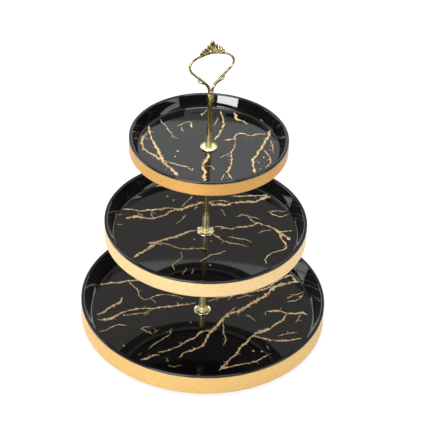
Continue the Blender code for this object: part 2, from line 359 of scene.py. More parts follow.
def split_place(tree, place):
    """(distance from the stem's axis, height) of a place, in mm."""
    apart = tree.nodes.new("ShaderNodeSeparateXYZ")
    tree.links.new(stretch(tree, place, [1 / MM] * 3), apart.inputs[0])
    x, y, z = apart.outputs
    return math_node(tree, "SQRT", math_node(tree, "ADD", product(tree, x, x), product(tree, y, y))), z


def noise(tree, vector, scale, detail=3.0, roughness=0.55):
    node = tree.nodes.new("ShaderNodeTexNoise")
    feed(tree, node, Vector=vector, Scale=scale, Detail=detail, Roughness=roughness)
    return node.outputs["Fac"]


def grain_group():
    """Fine metallic grain over slow cloudy changes of tone: used by the gilding, the veins and the plating."""
    found = bpy.data.node_groups.get("metal_grain")
    if found:
        return found
    group = bpy.data.node_groups.new("metal_grain", "ShaderNodeTree")
    inputs, outputs = ("Grain Scale", "Cloud Scale"), ("Grain", "Cloud", "Tone")
    for way, names in (("INPUT", inputs), ("OUTPUT", outputs)):
        for name in names:
            group.interface.new_socket(name=name, in_out=way, socket_type="NodeSocketFloat")
    enter = group.nodes.new("NodeGroupInput")
    leave = group.nodes.new("NodeGroupOutput")
    place = object_place(group)
    values = []
    for name, detail in (("Grain", 2), ("Cloud", 4)):
        cells = group.nodes.new("ShaderNodeTexNoise")
        feed(group, cells, Vector=place, Scale=enter.outputs[f"{name} Scale"], Detail=detail)
        group.links.new(cells.outputs["Fac"], leave.inputs[name])
        values.append(cells.outputs["Fac"])
    tone = math_node(group, "MULTIPLY_ADD", values[0], 0.6, product(group, values[1], 0.4))
    group.links.new(tone, leave.inputs["Tone"])
    return group


def grain(tree, grain_scale, cloud_scale):
    node = tree.nodes.new("ShaderNodeGroup")
    node.node_tree = grain_group()
    feed(tree, node, Grain_Scale=grain_scale, Cloud_Scale=cloud_scale)
    return node.outputs


def bump(tree, shader, height, strength, distance):
    node = tree.nodes.new("ShaderNodeBump")
    feed(tree, node, Strength=strength, Distance=distance, Height=height)
    feed(tree, shader, Normal=node.outputs["Normal"])


def plate_material(tier, settings, radius, low, rim):
    """Black glaze, with a satin gold band round the outside and a bare ring under the foot."""
    material, tree, shader = new_material(f"{tier}_plate_glaze_and_gilding")
    place = object_place(tree)
    out, z = split_place(tree, place)
    # the gilder's brush leaves both edges of the band a little uneven
    waver = product(tree, math_node(tree, "SUBTRACT", noise(tree, place, 90), 0.5), 0.7)
    height = math_node(tree, "ADD", z, waver)
    under = low + FOOT_HEIGHTS[tier]
    top_edge = rim - settings.band_drop / MM
    below_lip = ramp_between(tree, height, top_edge + 0.12, top_edge - 0.12)
    above_heel = ramp_between(tree, height, under + 0.1, under + 0.4)
    outside = ramp_between(tree, out, radius - 2, radius - 1.8)
    band = product(tree, product(tree, below_lip, above_heel), outside)
    near_foot = ramp_between(tree, z, low + 0.5, low + 0.3)
    speckle = grain(tree, 1900, 45)
    streaks = noise(tree, stretch(tree, place, (1, 1, 7)), 420, 4, 0.65)
    # painted light and shade: this tier's band takes its own lighter or darker shade of the one gold
    gold = getattr(settings, f"band_{tier}")
    gilding = mix_color(
        tree,
        ramp_between(tree, streaks, 0.25, 0.75),
        [c * f for c, f in zip(gold, (0.8, 0.72, 0.62))],
        [min(1, c * f) for c, f in zip(gold, (1.12, 1.2, 1.3))],
    )
    color = mix_color(tree, band, settings.glaze_color, gilding)
    color = mix_color(tree, near_foot, color, (0.55, 0.5, 0.43))
    gilt_rough = scale_between(tree, speckle["Grain"], 0.34, 0.5)
    orange_peel = noise(tree, place, 220, 1)
    glaze_rough = scale_between(tree, orange_peel, settings.glaze_roughness * 0.7, settings.glaze_roughness * 1.3)
    bare = math_node(tree, "SUBTRACT", 1, band)
    rough = math_node(tree, "ADD", product(tree, glaze_rough, bare), product(tree, gilt_rough, band))
    rough = math_node(tree, "MAXIMUM", rough, product(tree, near_foot, 0.8))
    feed(tree, shader, Base_Color=color, Metallic=product(tree, band, 0.92), Roughness=rough, IOR=1.52)
    ripple = product(tree, noise(tree, place, 28, 1), 0.6)
    relief = math_node(tree, "ADD", product(tree, speckle["Grain"], band), ripple)
    bump(tree, shader, relief, 0.16, 0.05 * MM)
    return material


def vein_material(settings):
    """Gold laid into the glaze: straw pale in places, copper and brown where the glaze shows through."""
    material, tree, shader = new_material("vein_gold")
    tones = grain(tree, 760, 210)
    gold = settings.vein_color
    copper = (gold[0] * 0.55, gold[1] * 0.4, gold[2] * 0.3)
    pale = (min(1, gold[0] * 1.15), min(1, gold[1] * 1.35), gold[2] * 1.8)
    color = mix_color(tree, ramp_between(tree, tones["Cloud"], 0.40, 0.56), copper, gold)
    color = mix_color(tree, ramp_between(tree, tones["Grain"], 0.48, 0.60), color, pale)
    bare = ramp_between(tree, noise(tree, object_place(tree), 620, 2, 0.7), 0.41, 0.33)
    color = mix_color(tree, bare, color, (0.09, 0.05, 0.03))
    feed(tree, shader, Base_Color=color, Metallic=0.45, Roughness=scale_between(tree, tones["Grain"], 0.32, 0.6))
    bump(tree, shader, tones["Grain"], 0.3, 0.04 * MM)
    return material


def gilt_material(name, gold, roughness, metallic=1.0, wash=0.0, satin_and_highlight_radius=None):
    """Polished gold plating, with faint polishing marks and slow changes of tone."""
    material, tree, shader = new_material(name)
    tones = grain(tree, 900, 160)
    warm = (gold[0] * 0.93, gold[1] * 0.86, gold[2] * 0.72)
    color = mix_color(tree, scale_between(tree, tones["Cloud"], -0.5, 1.5), warm, gold)
    rough = scale_between(tree, tones["Tone"], roughness * 0.6, roughness * 1.5)
    if wash:
        # painted shade: dark brown patches, placed by noise, stand in for the shade in the casting's crevices
        painted_shade_patches = ramp_between(tree, noise(tree, object_place(tree), 420, 3, 0.6), 0.42, 0.60)
        color = mix_color(tree, product(tree, painted_shade_patches, wash), color, (0.09, 0.06, 0.02))
    if satin_and_highlight_radius:
        # the stouter ends, further from the axis than this radius in mm, are brushed rougher and painted paler as a
        # painted highlight
        satin_and_highlight_ends = ramp_between(tree, split_place(tree, object_place(tree))[0], satin_and_highlight_radius, satin_and_highlight_radius + 0.4)
        rough = math_node(tree, "MULTIPLY_ADD", satin_and_highlight_ends, 0.2, rough)
        color = mix_color(tree, satin_and_highlight_ends, color, (1, 0.9, 0.48))
    feed(tree, shader, Base_Color=color, Metallic=metallic, Roughness=rough)
    bump(tree, shader, tones["Cloud"], 0.08, 0.06 * MM)
    return material


def plain_material(name, scales, shades, tone, rough, relief, **values):
    """Steel or silicone: two shades of one colour in slow clouds, under a fine grain."""
    material, tree, shader = new_material(name)
    tones = grain(tree, *scales)
    color = mix_color(tree, tones["Cloud"], *shades)
    feed(tree, shader, Base_Color=color, Roughness=scale_between(tree, tones[tone], *rough), **values)
    bump(tree, shader, tones["Grain"], *relief)
    return material


# ---- veins

# Each vein is its width in mm at the start and at the end, and then x and y in turn of the points in mm that it runs
# through on the plate's floor. x runs to the viewer's right and y away from the viewer.
TOP_VEINS = (
    (1.7, 2.6, -61, 32, -59, 20, -56, 8, -51, -4, -47, -15, -44, -26, -38, -35, -32, -42, -28, -50),
    (1.9, 1.6, -65, 15, -66, 4, -63, -8, -57, -14, -51, -18, -46, -26),
    (0.8, 0.5, -62, 21, -64, 12, -60, 8),
    (1, 0.6, -50, 44, -44, 33, -38, 21, -35, 15, -30, 12),
    (0.8, 1.2, -32, 34, -27, 38, -20, 43, -18, 38, -18, 32),
    (1, 0.6, -28, 32, -27, 27, -25, 25),
    (0.9, 1.2, -44, -25, -35, -29, -27, -32, -19, -35, -15, -40, -14, -36),
    (2.6, 2.4, 0, -11, 0, -18, -4, -27, -5, -35, -2, -41, -3, -49, -2, -57),
    (0.9, 0.6, -1, -32, 4, -32, 7, -37),
    (1.2, 1.8, 10, 63, 13, 52, 14, 41, 13, 33, 11, 26, 8, 18, 5, 12),
    (0.9, 0.7, -4, 64, -5, 59, -9, 56, -8, 53),
    (1.8, 2.6, 24, 61, 26, 56, 25, 51),
    (2.4, 1, 25, 52, 30, 48, 35, 45, 38, 42),
    (1.2, 1, 15, 13, 24, 15, 26, 22, 30, 26, 36, 25, 40, 22, 48, 25, 58, 26),
    (2, 1.6, 60, 34, 59, 24, 56, 14, 52, 3, 49, -4, 47, -12, 44, -17, 44, -28, 46, -40),
    (1, 1.3, 26, 17, 26, 8, 25, 0, 22, -8, 23, -20, 22, -32, 19, -40, 24, -51),
    (1, 0.5, 22, -8, 17, -13, 12, -17),
    (1, 0.8, 54, -1, 58, -8, 61, -16, 60, -24, 56, -31),
    (0.7, 0.5, 61, 16, 63, 4, 63, -6),
    (0.8, 0.9, 14, -54, 15, -48, 17, -43),
    (0.7, 0.5, 5, 36, 6, 44, 9, 50),
    (0.7, 0.6, 54, -12, 54, -15),
    (0.8, 0.6, 50, -21, 49, -24),
    (0.8, 0.6, 52, -31, 50, -34),
)
MIDDLE_VEINS = (
    (1.2, 1.8, -89, 28, -78, 29, -68, 26, -60, 29, -50, 30, -40, 33, -33, 34),
    (2.4, 2.8, -33, 33, -27, 31, -18, 37, -8, 43, 0, 46, 7, 42, 14, 43, 22, 43, 28, 47),
    (2.8, 2.2, 28, 47, 40, 49, 51, 50, 60, 57, 68, 60),
    (0.9, 1, -2, 47, 7, 48, 14, 50, 24, 48),
    (1, 2.2, 26, 58, 40, 59, 54, 61, 62, 62, 66, 58),
    (2.4, 1.6, -81, 13, -76, 16, -70, 17, -63, 15, -55, 15, -48, 18, -42, 21, -38, 27, -30, 31),
    (0.9, 0.7, -70, 23, -66, 20, -63, 16),
    (0.8, 0.6, -55, 28, -56, 21, -54, 17),
    (0.9, 0.6, -14, 56, -19, 47, -25, 37),
    (0.8, 0.6, -9, 41, -12, 32),
    (1.1, 0.7, -20, 24, -24, 15, -30, 8),
    (0.8, 0.6, 16, 35, 19, 30, 20, 24),
    (2, 2.8, -70, -49, -62, -41, -55, -33, -50, -27),
    (2.8, 2.2, -56, -25, -48, -24, -43, -20, -33, -15, -25, -11, -18, -5, -10, -2),
    (1.3, 1.6, 9, 5, 16, 6, 26, 3, 34, 6, 42, 8, 50, 11, 54, 15, 62, 11),
    (2.2, 2.4, 62, 11, 70, 8, 75, 2, 80, -2, 87, -11),
    (1.2, 0.9, 75, 1, 82, 3, 89, 4),
    (1.8, 0.8, -55, -26, -47, -26, -40, -25, -32, -28, -24, -32, -14, -32, -4, -30, 3, -31),
    (0.9, 0.6, -23, -38, -21, -46, -27, -53, -31, -59, -28, -66),
    (0.8, 0.9, -3, -50, 3, -45, 8, -40, 15, -37, 22, -33),
    (1.4, 0.9, 8, -6, 14, -11, 20, -17, 28, -20, 36, -21, 45, -25),
    (0.7, 0.7, 25, -10, 35, -12, 42, -13, 48, -17),
    (0.8, 1, 32, 23, 38, 28, 44, 25, 51, 24, 56, 21),
    (0.9, 0.8, 44, 25, 48, 18, 52, 14),
    (0.8, 0.8, 65, 34, 73, 36, 82, 36),
    (0.9, 0.7, 66, 34, 71, 29, 78, 26, 86, 31),
    (1.2, 0.8, 76, 0, 78, -8, 82, -16, 84, -24, 78, -28, 70, -32, 64, -38, 62, -44, 63, -50),
    (0.9, 0.5, -20, -72, -18, -67, -16, -62),
    (0.8, 0.5, -11, -70, -9, -64),
    (0.8, 0.6, -90, 18, -86, 20),
    (0.9, 0.6, -90, 3, -85, 3),
    (0.7, 0.6, -82, 47, -75, 48, -68, 51),
    (0.7, 0.5, 55, -2, 62, 2, 68, 4),
    # behind the top plate
    (1.2, 0.8, -58, 69, -45, 72, -30, 69, -14, 76, 6, 81),
    (0.9, 0.6, 18, 62, 26, 72, 38, 79),
)
BOTTOM_VEINS = (
    (1.8, 1.7, -110, 27, -100, 31, -90, 32, -80, 36, -70, 37, -58, 38),
    (1.3, 1, -79, 34, -74, 27, -68, 20, -67, 12, -61, 6),
    (1, 0.7, -61, 6, -55, 9, -48, 14, -40, 16, -30, 15, -20, 11),
    (1.1, 0.7, -55, 9, -51, 6, -49, 2),
    (2.8, 1.8, -108, -28, -101, -29, -94, -26, -86, -18, -76, -12, -64, -8),
    (1.8, 1.5, -64, -8, -50, -7, -38, -4, -25, -1, -14, 2, -7, 4),
    (1.1, 0.8, -80, -20, -70, -17, -60, -15, -50, -8),
    (0.9, 0.5, -60, -19, -54, -13),
    (1.1, 0.6, -25, -2, -24, 1, -27, 5),
    (1.6, 2.8, -109, -20, -103, -17, -98, -10, -93, -4),
    (2.8, 1.8, -93, -4, -86, 0, -85, 9),
    (0.9, 1, -105, -47, -98, -45, -91, -38, -85, -35, -77, -36),
    (0.9, 0.7, -49, -48, -57, -43, -62, -40, -58, -37, -52, -36),
    (0.9, 0.7, -30, -37, -31, -46, -40, -56, -47, -63, -52, -70),
    (0.9, 0.6, -48, -45, -43, -40),
    (2.4, 1.4, -59, -87, -52, -84, -46, -79, -41, -79),
    (1, 0.7, -62, -80, -59, -77),
    (1.5, 3.2, -20, -81, -17, -75, -13, -72),
    (1.8, 1.6, -13, -72, -6, -69, 4, -62, 7, -52, 10, -42),
    (2.6, 3, 10, -42, 15, -36, 19, -28, 24, -18, 30, -10, 38, -6),
    (3, 3.2, 38, -6, 46, -1, 52, 6, 60, 13, 67, 19, 73, 28),
    (3, 2.6, 73, 28, 78, 36, 88, 41, 98, 45, 108, 48),
    (0.9, 1.6, -42, -75, -32, -71, -22, -65, -14, -57, -5, -50, 2, -40, 12, -38),
    (1.2, 0.7, 30, -10, 34, -3, 38, 1),
    (0.9, 0.6, 38, -6, 40, -14),
    (1.4, 1.8, 7, 8, 13, 11, 20, 15, 32, 18, 40, 22),
    (1.8, 1.6, 40, 22, 52, 26, 62, 29, 70, 33, 78, 43),
    (1.8, 2.4, 78, 43, 88, 52, 98, 58, 99, 50, 107, 44),
    (0.9, 0.6, 28, 11, 33, 17),
    (0.9, 0.6, 38, 14, 47, 19, 56, 20),
    (0.8, 0.6, 48, -10, 54, -16, 58, -20),
    (1, 0.7, 24, -25, 25, -40, 27, -51, 25, -60),
    (2.8, 2, 22, -97, 28, -88, 32, -80, 38, -74, 41, -68),
    (2, 2.6, 41, -68, 42, -62, 48, -56, 52, -48, 58, -40, 66, -36, 74, -31),
    (1.8, 1.4, 74, -31, 80, -24, 87, -17, 91, -8),
    (1.4, 2.6, 70, -5, 79, -3, 86, -3, 91, -7, 100, -6, 108, -4, 113, -7),
    (0.9, 0.6, 84, -2, 86, 3),
    (0.9, 0.6, 69, -5, 69, -12),
    (0.9, 0.6, 106, -7, 103, -15, 100, -21),
    (1.6, 1, 24, -95, 32, -92, 42, -88, 52, -85, 62, -80, 68, -74, 74, -70),
    (1.8, 1.2, 58, -44, 66, -47, 78, -50, 90, -49, 100, -46, 106, -44),
    (0.8, 0.7, 82, -42, 92, -38, 102, -36),
    (0.9, 0.7, 92, 17, 98, 23, 105, 26, 110, 30),
    (0.8, 0.9, 92, 13, 100, 14, 105, 18, 109, 25),
    (0.9, 0.5, -30, -93, -24, -96, -19, -92),
    (0.8, 0.5, -33, -82, -31, -88),
    (0.9, 0.6, 70, -58, 72, -63),
    # behind the middle plate
    (1.8, 1.8, -58, 38, -47, 44, -36, 53, -20, 58, -6, 70, 8, 76, 19, 88, 28, 103),
    (1.1, 0.8, -36, 53, -40, 66, -36, 80, -44, 96),
    (1.3, 0.9, -92, 60, -80, 66, -66, 64, -54, 73),
    (1.2, 0.8, 78, 43, 66, 55, 60, 70, 66, 84),
)
VEINS = {"top": TOP_VEINS, "middle": MIDDLE_VEINS, "bottom": BOTTOM_VEINS}
# (x, y, size) of each drop
FLECKS = {
    "top": ((-30, -9, 1.3), (-32, -18, 1), (7, 50, 0.7), (54, -13, 0.8), (-40, -40, 0.7)),
    "middle": (
        (-41, 53, 1.2), (-34, 47, 1.3), (7, -56, 1.2), (-73, 16, 2.6), (86, -9, 2.4), (-10, -16, 1), (7, -18, 0.8)
    ),
    "bottom": (
        (56, -67, 1.5), (65, -67, 1.2), (-78, -67, 1.4), (-81, -20, 1), (-93, -6, 2.4), (-10, -27, 0.8), (40, -7, 2.2)
    ),
}
VIEW_TURN = math.radians(-22)   # the pattern was set out facing the viewer, who stands this far round the stem
# where the middle of each pattern lies on its floor and how much it is stretched (mm, x right and y away), and the
# margin from the plate's outside to the flat floor
VEIN_SETTING = {
    "top": (-0.1, -0.1, 1.002, 1.03, 9.6),
    "middle": (-0.8, 2.6, 0.995, 1.031, 10.5),
    "bottom": (-1.5, 6.8, 0.99, 1.032, 11.8),
}


def wander(rng, points):
    """The path through points with a corner every step, each pushed sideways a little."""
    path = []
    for a, b in zip(points, points[1:]):
        a, b = Vector(a), Vector(b)
        count = max(1, round((b - a).length / VEIN_STEP))
        across = Vector((a.y - b.y, b.x - a.x)).normalized()
        for i in range(count):
            push = rng.uniform(-VEIN_SWAY, VEIN_SWAY) if i or path else 0
            path.append(a.lerp(b, i / count) + across * push)
    path.append(Vector(points[-1]))
    return path


def add_strip(rng, form, path, start, end, height):
    """A flat strip along path, whose two edges break away from its middle line unevenly."""
    last = len(path) - 1
    left, right = [], []
    for i, here in enumerate(path):
        along = (path[min(i + 1, last)] - path[max(i - 1, 0)]).normalized()
        across = Vector((-along.y, along.x))
        width = (start + (end - start) * i / last) * rng.choice((0.7, 0.95, 1.2, 1.7))
        taper = min(1, 0.3 + 0.35 * i, 0.3 + 0.35 * (last - i))
        for side, edge in ((1, left), (-1, right)):
            reach = 0.5 * width * taper * rng.uniform(0.5, 1.3)
            point = here + across * side * max(0.12, reach)
            edge.append(form.verts.new((point.x, point.y, height)))
    for i in range(last):
        form.faces.new((right[i], right[i + 1], left[i + 1], left[i]))
    ends = ((path[0], path[1], (left[0], right[0])), (path[-1], path[-2], (right[-1], left[-1])))
    for tip, behind, (first, second) in ends:
        point = tip + (tip - behind).normalized() * 0.8
        form.faces.new((first, second, form.verts.new((point.x, point.y, height))))


def add_fleck(rng, form, x, y, size, height):
    """An irregular flat drop."""
    ring = []
    for i in range(9):
        angle = 2 * math.pi * i / 9
        reach = size * rng.uniform(0.55, 1.15)
        ring.append(form.verts.new((x + reach * math.cos(angle), y + reach * math.sin(angle), height)))
    form.faces.new(ring)


def vein_mesh(tier, floor, rise):
    """All the veins and flecks of one plate as thin flat strips on its floor."""
    rng = random.Random(f"veins of the {tier} plate")
    form = bmesh.new()
    level = 0
    for start, end, *places in VEINS[tier]:
        path = wander(rng, list(zip(places[::2], places[1::2])))
        add_strip(rng, form, path, start, end, level)
        level += VEIN_LIFT
        for here in path[2:-2:4]:
            if rng.random() < 0.5:
                way = rng.uniform(0, 2 * math.pi)
                reach = rng.uniform(1.5, 4.5)
                tip = here + Vector((math.cos(way), math.sin(way))) * reach
                add_strip(rng, form, [here, here.lerp(tip, 0.5), tip], 0.7, 0.35, level)
                level += VEIN_LIFT
    for x, y, size in FLECKS[tier]:
        add_fleck(rng, form, x, y, size, level)
        level += VEIN_LIFT
    aside, beyond, wide, deep, margin = VEIN_SETTING[tier]
    reach = box_of(f"{tier}_plate")[0] - margin
    for point in form.verts:
        x, y = point.co.x * wide + aside, point.co.y * deep + beyond
        pull = min(1, reach / max(0.1, math.hypot(x, y)))
        point.co.x, point.co.y = x * pull, y * pull
    place = Matrix.Translation((0, 0, floor * MM + rise)) @ Matrix.Rotation(VIEW_TURN, 4, "Z") @ Matrix.Scale(MM, 4)
    bmesh.ops.transform(form, matrix=place, verts=form.verts)
    bmesh.ops.recalc_face_normals(form, faces=form.faces)
    for face in form.faces:
        if face.normal.z < 0:
            face.normal_flip()
    mesh = bpy.data.meshes.new(f"{tier}_plate_veins")
    form.to_mesh(mesh)
    form.free()
    return mesh


# ---- operators


class CAKESTAND_OT_plates(bpy.types.Operator):
    """Turn the three glazed plates with their gilded bands"""

    bl_idname = "cakestand.plates"
    bl_label = "Plates"

    def execute(self, context):
        settings = context.scene.cake_stand_plates
        for tier in TIERS:
            radius, low, rim = box_of(f"{tier}_plate")
            under = low + FOOT_HEIGHTS[tier]
            floor = under + FLOOR_THICKNESS
            inside = radius - RIM_WIDTH
            wall_foot = inside - (rim - floor - HEEL_HEIGHT) * math.tan(WALL_DRAFT)
            floor_edge = wall_foot - HEEL_HEIGHT * math.tan(HEEL_DRAFT)
            foot = radius - FOOT_INSET
            corners = (
                (PLATE_HOLE_RADIUS, under, 0.4, 3), (PLATE_HOLE_RADIUS, floor, 0.4, 3), (floor_edge, floor, 1.2, 8),
                (wall_foot, floor + HEEL_HEIGHT, 4, 6), (inside, rim, 0.9, 5), (radius, rim, 1.1, 6),
                (radius, under, 2.4, 6), (foot, under, 0.5, 3), (foot, low, 0.5, 3),
                (foot - FOOT_WIDTH, low, 0.5, 3), (foot - FOOT_WIDTH, under, 0.5, 3),
            )
            piece = turn(f"{tier}_glazed_plate", corners, PLATE_STEPS)
            material = plate_material(tier, settings, radius, low, rim)
            dress(piece, material, PLATE_BODIES[tier], "black_glaze", f"{tier}_plate")
        return {"FINISHED"}


class CAKESTAND_OT_veins(bpy.types.Operator):
    """Lay the branching gold veins on the floor of each plate"""

    bl_idname = "cakestand.veins"
    bl_label = "Veins"

    def execute(self, context):
        settings = context.scene.cake_stand_plates
        material = vein_material(settings)
        for tier in TIERS:
            floor = box_of(f"{tier}_plate")[1] + FOOT_HEIGHTS[tier] + FLOOR_THICKNESS
            piece = bpy.data.objects.new(f"{tier}_plate_veins", vein_mesh(tier, floor, settings.vein_height))
            context.scene.collection.objects.link(piece)
            select_only(piece)
            apply_modifier(piece, "thickness", "SOLIDIFY", thickness=2 * settings.vein_height, offset=-1)
            dress(piece, material, PLATE_BODIES[tier], "gold_plate")
        return {"FINISHED"}


class CAKESTAND_OT_washers(bpy.types.Operator):
    """Turn the cup washers above and below each plate"""

    bl_idname = "cakestand.washers"
    bl_label = "Washers"

    def execute(self, context):
        metal = context.scene.cake_stand_metal
        material = gilt_material("washer_gilt", metal.washer_color, metal.washer_roughness, 0.85)
        for tier in TIERS:
            for side, bodies in (("upper", WASHER_BODIES), ("lower", PLATE_BODIES)):
                node = f"{tier}_{side}_washer"
                lip, low, high = box_of(node)
                way = 1 if side == "upper" else -1
                seat = high if way > 0 else low
                thick = 0.8 * way
                edge = low if way > 0 else high
                corners = (
                    (2.3, seat - thick, 0, 0), (2.3, seat, 0.2, 2), (5.6, seat, 1, 5),
                    (6.9, seat - 0.25 * way, 0.6, 4), (lip, edge + thick, 0.45, 5), (lip, edge, 0.15, 2),
                    (lip - 0.8, edge, 0.1, 2), (6.8, seat - thick, 0.4, 3),
                )
                piece = turn(f"{tier}_{side}_cup_washer", corners, 96)
                dress(piece, material, bodies[tier], "gold_plate", node)
        return {"FINISHED"}


class CAKESTAND_OT_gaskets(bpy.types.Operator):
    """Turn the silicone gaskets that cushion each plate"""

    bl_idname = "cakestand.gaskets"
    bl_label = "Gaskets"

    def execute(self, context):
        shades = (0.72, 0.72, 0.69), (0.86, 0.86, 0.83)
        clear = {"Transmission_Weight": 0.35, "IOR": 1.41}
        material = plain_material(
            "clear_silicone", (1200, 130), shades, "Grain", (0.4, 0.6), (0.12, 0.04 * MM), **clear
        )
        for tier in TIERS:
            for side in ("upper", "lower"):
                node = f"{tier}_{side}_gasket"
                out, low, high = box_of(node)
                corners = ((2.4, low, 0.15, 2), (2.4, high, 0.15, 2), (out, high, 0.3, 4), (out, low, 0.3, 4))
                piece = turn(f"{tier}_{side}_silicone_gasket", corners, 64)
                dress(piece, material, PLATE_BODIES[tier], "clear_silicone", node)
        return {"FINISHED"}


class CAKESTAND_OT_rods(bpy.types.Operator):
    """Turn the three gilt rods, bored at both ends"""

    bl_idname = "cakestand.rods"
    bl_label = "Rods"

    def execute(self, context):
        metal = context.scene.cake_stand_metal
        # the bell ends get a rougher finish and a painted highlight
        material = gilt_material("rod_gilt", metal.gilt_color, metal.gilt_roughness, satin_and_highlight_radius=2.7)
        bore, depth = ROD_BORE
        for node, body in (("lower_rod", "lower_stem"), ("middle_rod", "middle_stem")):
            bell, low, high = box_of(node)
            half = (
                (0, depth, 0, 0), (bore, depth, 0, 0), (bore, 0, 0.25, 2), (bell, 0, 0.5, 4), (bell, 12, 4, 6),
                (bell - 0.35, 17.4, 3, 6), (2.5, 22.4, 1.6, 5),
            )
            other = tuple((r, high - low - h, cut, n) for r, h, cut, n in reversed(half))
            piece = turn(f"{node}_gilt", half + other, 64, z=low)
            dress(piece, material, body, "gold_plate", node)
        foot, low, high = box_of("upper_rod")
        tall = high - low
        end_bore, end_depth = HANDLE_BORE
        corners = (
            (0, depth, 0, 0), (bore, depth, 0, 0), (bore, 0, 0.25, 2), (foot, 0, 0.5, 4), (foot - 0.25, 8, 4, 6),
            (2.45, 24, 8, 8), (2.3, tall, 0.4, 3), (end_bore, tall, 0.15, 2), (end_bore, tall - end_depth, 0, 0),
            (0, tall - end_depth, 0, 0),
        )
        piece = turn("upper_rod_gilt", corners, 64, z=low)
        dress(piece, material, "upper_stem", "gold_plate", "upper_rod")
        return {"FINISHED"}


def threaded_bar(name, radius, low, high, pitch):
    """A bar with a real helical thread, in mm: one turn of a tooth, repeated up the bar, with a cap at each end."""
    radius, low, high, pitch = (length * MM for length in (radius, low, high, pitch))
    deep = 0.6 * pitch
    turns = round((high - low) / pitch)
    rise = (high - low) / turns
    tooth = ((radius - deep, 0), (radius, 0.42), (radius, 0.58), (radius - deep, 1))
    draw_line(name, [Vector((out, 0, up * rise)) for out, up in tooth])
    set_mode("OBJECT")
    bar = bpy.context.object
    helix = {"axis": "Z", "steps": 28, "render_steps": 28, "screw_offset": rise, "iterations": turns - 1}
    apply_modifier(bar, "helix", "SCREW", use_merge_vertices=True, merge_threshold=1e-5, **helix)
    set_mode("EDIT")
    select_all()
    bpy.ops.mesh.remove_doubles(threshold=1e-6)
    bpy.ops.transform.translate(value=(0, 0, low))
    # the helix runs out past the ends, so both are cut square and capped
    ends = ((low + 0.5 * rise, low), (high - 0.5 * rise, high))
    for level, end in ends:
        select_all()
        bpy.ops.mesh.bisect(
            plane_co=(0, 0, level), plane_no=(0, 0, 1), use_fill=True, clear_inner=end == low, clear_outer=end == high
        )
    for level, end in ends:
        pick(lambda co, level=level: abs(co.z - level) < 1e-6)
        extrude((0, 0, end - level))
        bpy.ops.transform.resize(value=(0.8, 0.8, 1), center_override=(0, 0, end))
    finish_faces(THREAD_SMOOTH_BELOW)
    return bar


class CAKESTAND_OT_fasteners(bpy.types.Operator):
    """Cut the threaded studs and the slotted base screw"""

    bl_idname = "cakestand.fasteners"
    bl_label = "Screw and Studs"

    def execute(self, context):
        shades = (0.42, 0.42, 0.4), (0.72, 0.71, 0.68)
        material = plain_material(
            "bright_steel", (1600, 200), shades, "Tone", (0.2, 0.42), (0.15, 0.03 * MM), Metallic=1.0
        )
        pitch = context.scene.cake_stand_metal.thread_pitch / MM
        rises = {"middle_rod_stud": pitch, "upper_rod_stud": pitch, "handle_stud": HANDLE_PITCH}
        for (node, rise), body in zip(rises.items(), ("lower_stem", "middle_stem", "upper_stem")):
            radius, low, high = box_of(node)
            piece = threaded_bar(f"{node}_threaded", radius, low, high, rise)
            dress(piece, material, body, "bright_steel", node)
        head, low, high = box_of("base_screw")
        shank = threaded_bar("base_screw_threaded", SCREW_RADIUS, low + 1.2, high, pitch)
        corners = ((0, 0, 0, 0), (head, 0, 0.8, 6), (head, 1.6, 0.15, 2), (0, 1.6, 0, 0))
        top = turn("base_screw_head", corners, 64, z=low)
        select_only()
        bpy.ops.mesh.primitive_cube_add(size=1, location=(0, 0, low * MM))
        slot = context.object
        bpy.ops.transform.resize(value=(3 * head * MM, 0.9 * MM, 1.4 * MM))
        settle(slot)
        context.view_layer.objects.active = top
        apply_modifier(top, "slot", "BOOLEAN", operation="DIFFERENCE", object=slot)
        bpy.data.objects.remove(slot)
        select_only(shank, top)
        bpy.ops.object.join()
        dress(shank, material, "base", "bright_steel", "base_screw")
        return {"FINISHED"}


def cast_bar(points, foot):
    """A round bar along a smooth curve through points (x, z, radius) in mm above foot."""
    select_only()
    bpy.ops.curve.primitive_bezier_curve_add(location=(0, 0, 0))
    line = bpy.context.object.data
    line.dimensions = "3D"
    line.bevel_depth = MM
    line.bevel_resolution = 5
    line.resolution_u = 10
    line.use_fill_caps = True
    spline = line.splines[0]
    spline.bezier_points.add(len(points) - 2)
    for point, (x, z, radius) in zip(spline.bezier_points, points):
        point.co = (x * MM, 0, (foot + z) * MM)
        point.radius = radius
        point.handle_left_type = point.handle_right_type = "AUTO"
    bpy.ops.object.convert(target="MESH")
    return bpy.context.object


def cast_drop(foot, x, z, wide, tall, deep, lean=0, waist=0.55):
    """A leaf-shaped drop: a ball drawn out along its lean and narrowed towards its foot. In mm and degrees."""
    select_only()
    bpy.ops.mesh.primitive_uv_sphere_add(segments=20, ring_count=14, radius=1, location=(0, 0, 0))
    drop = bpy.context.object
    set_mode("EDIT")
    for level, share in ((-0.2, 0.88), (-0.5, 0.8), (-0.8, waist / 0.7)):
        pick(lambda co, level=level: co.z < level)
        bpy.ops.transform.resize(value=(share, share, 1), center_override=(0, 0, 0))
    select_all()
    bpy.ops.transform.resize(value=(wide * MM, deep * MM, tall * MM), center_override=(0, 0, 0))
    set_mode("OBJECT")
    drop.rotation_euler = (0, math.radians(lean), 0)
    drop.location = (x * MM, 0, (foot + z) * MM)
    return drop


